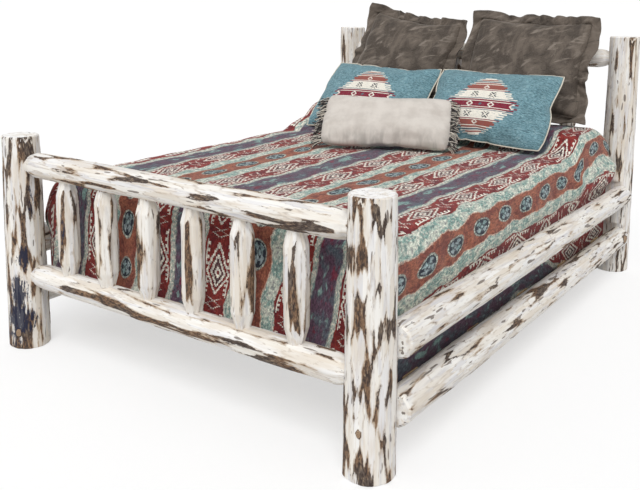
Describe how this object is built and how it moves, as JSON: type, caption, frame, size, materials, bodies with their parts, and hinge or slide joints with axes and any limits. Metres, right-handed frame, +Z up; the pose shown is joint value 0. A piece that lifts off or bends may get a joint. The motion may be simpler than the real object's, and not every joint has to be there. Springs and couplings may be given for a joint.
{
  "type": "rustic log bed",
  "caption": "Rustic peeled-log bed with spindled footboard and headboard, log side rails, mattress set, patterned coverlet and loose pillows.",
  "frame": {"origin": "on the floor under the middle of the bed", "axes": "+Z up, +Y from the foot to the head, +X to the right seen from the foot"},
  "size_m": [1.7631, 2.4259, 1.2817],
  "materials": {
    "peeled_log": "peeled log with bark left in the low spots, clear satin coat",
    "sawn_board": "planed softwood, bare",
    "zinc_steel": "zinc plated",
    "yellow_zinc": "yellow zinc plated steel screws",
    "foundation_cloth": "plain woven ticking",
    "mattress_cloth": "quilted knit",
    "sleeping_case": "plain cotton",
    "striped_coverlet": "jacquard woven stripes",
    "taupe_velvet": "crushed velvet",
    "teal_weave": "heathered weave with a woven medallion",
    "pale_suede": "soft suede cloth",
    "yarn_fringe": "twisted yarn"
  },
  "bodies": {
    "root": {"foot_post_left": "peeled_log", "head_post_left": "peeled_log", "side_rail_upper_left": "peeled_log", "side_rail_lower_left": "peeled_log", "support_ledger_left": "sawn_board", "foot_post_right": "peeled_log", "head_post_right": "peeled_log", "side_rail_upper_right": "peeled_log", "side_rail_lower_right": "peeled_log", "support_ledger_right": "sawn_board", "footboard_top_rail": "peeled_log", "footboard_bottom_rail": "peeled_log", "headboard_top_rail": "peeled_log", "headboard_bottom_rail": "peeled_log", "footboard_spindle_1": "peeled_log", "footboard_spindle_2": "peeled_log", "footboard_spindle_3": "peeled_log", "footboard_spindle_4": "peeled_log", "footboard_spindle_5": "peeled_log", "footboard_spindle_6": "peeled_log", "headboard_spindle_1": "peeled_log", "headboard_spindle_2": "peeled_log", "headboard_spindle_3": "peeled_log", "headboard_spindle_4": "peeled_log", "headboard_spindle_5": "peeled_log", "headboard_spindle_6": "peeled_log", "rail_bolts": "zinc_steel", "rail_washers": "zinc_steel", "rail_nuts": "zinc_steel", "ledger_screws": "yellow_zinc", "slat_screws": "yellow_zinc", "leg_screws": "yellow_zinc", "mattress_slat_1": "sawn_board", "mattress_slat_2": "sawn_board", "mattress_slat_3": "sawn_board", "mattress_slat_4": "sawn_board", "mattress_slat_5": "sawn_board", "centre_leg_1": "sawn_board", "centre_leg_2": "sawn_board", "centre_leg_3": "sawn_board", "foundation_side_boards": "sawn_board", "foundation_end_boards": "sawn_board", "foundation_top_slats": "sawn_board", "foundation_cover": "foundation_cloth", "mattress": "mattress_cloth", "coverlet": "striped_coverlet", "sleeping_pillow_left": "sleeping_case", "sleeping_pillow_right": "sleeping_case"},
    "sham_left": {"sham_left": "taupe_velvet", "sham_flange_left": "taupe_velvet"},
    "sham_right": {"sham_right": "taupe_velvet", "sham_flange_right": "taupe_velvet"},
    "accent_left": {"accent_pillow_left": "teal_weave"},
    "accent_right": {"accent_pillow_right": "teal_weave"},
    "lumbar": {"lumbar_pillow": "pale_suede", "lumbar_fringe_left": "yarn_fringe", "lumbar_fringe_right": "yarn_fringe"}
  },
  "joints": [
    {"name": "sham_left_lift", "type": "slide", "parent": "root", "child": "sham_left", "axis": [0, 0.2756, 0.9613], "range_m": [0, 0.3]},
    {"name": "sham_right_lift", "type": "slide", "parent": "root", "child": "sham_right", "axis": [0, 0.2756, 0.9613], "range_m": [0, 0.3]},
    {"name": "accent_left_lift", "type": "slide", "parent": "root", "child": "accent_left", "axis": [0, 0, 1], "range_m": [0, 0.3]},
    {"name": "accent_right_lift", "type": "slide", "parent": "root", "child": "accent_right", "axis": [0, 0, 1], "range_m": [0, 0.3]},
    {"name": "lumbar_lift", "type": "slide", "parent": "accent_right", "child": "lumbar", "axis": [0, 0, 1], "range_m": [0, 0.25]}
  ]
}
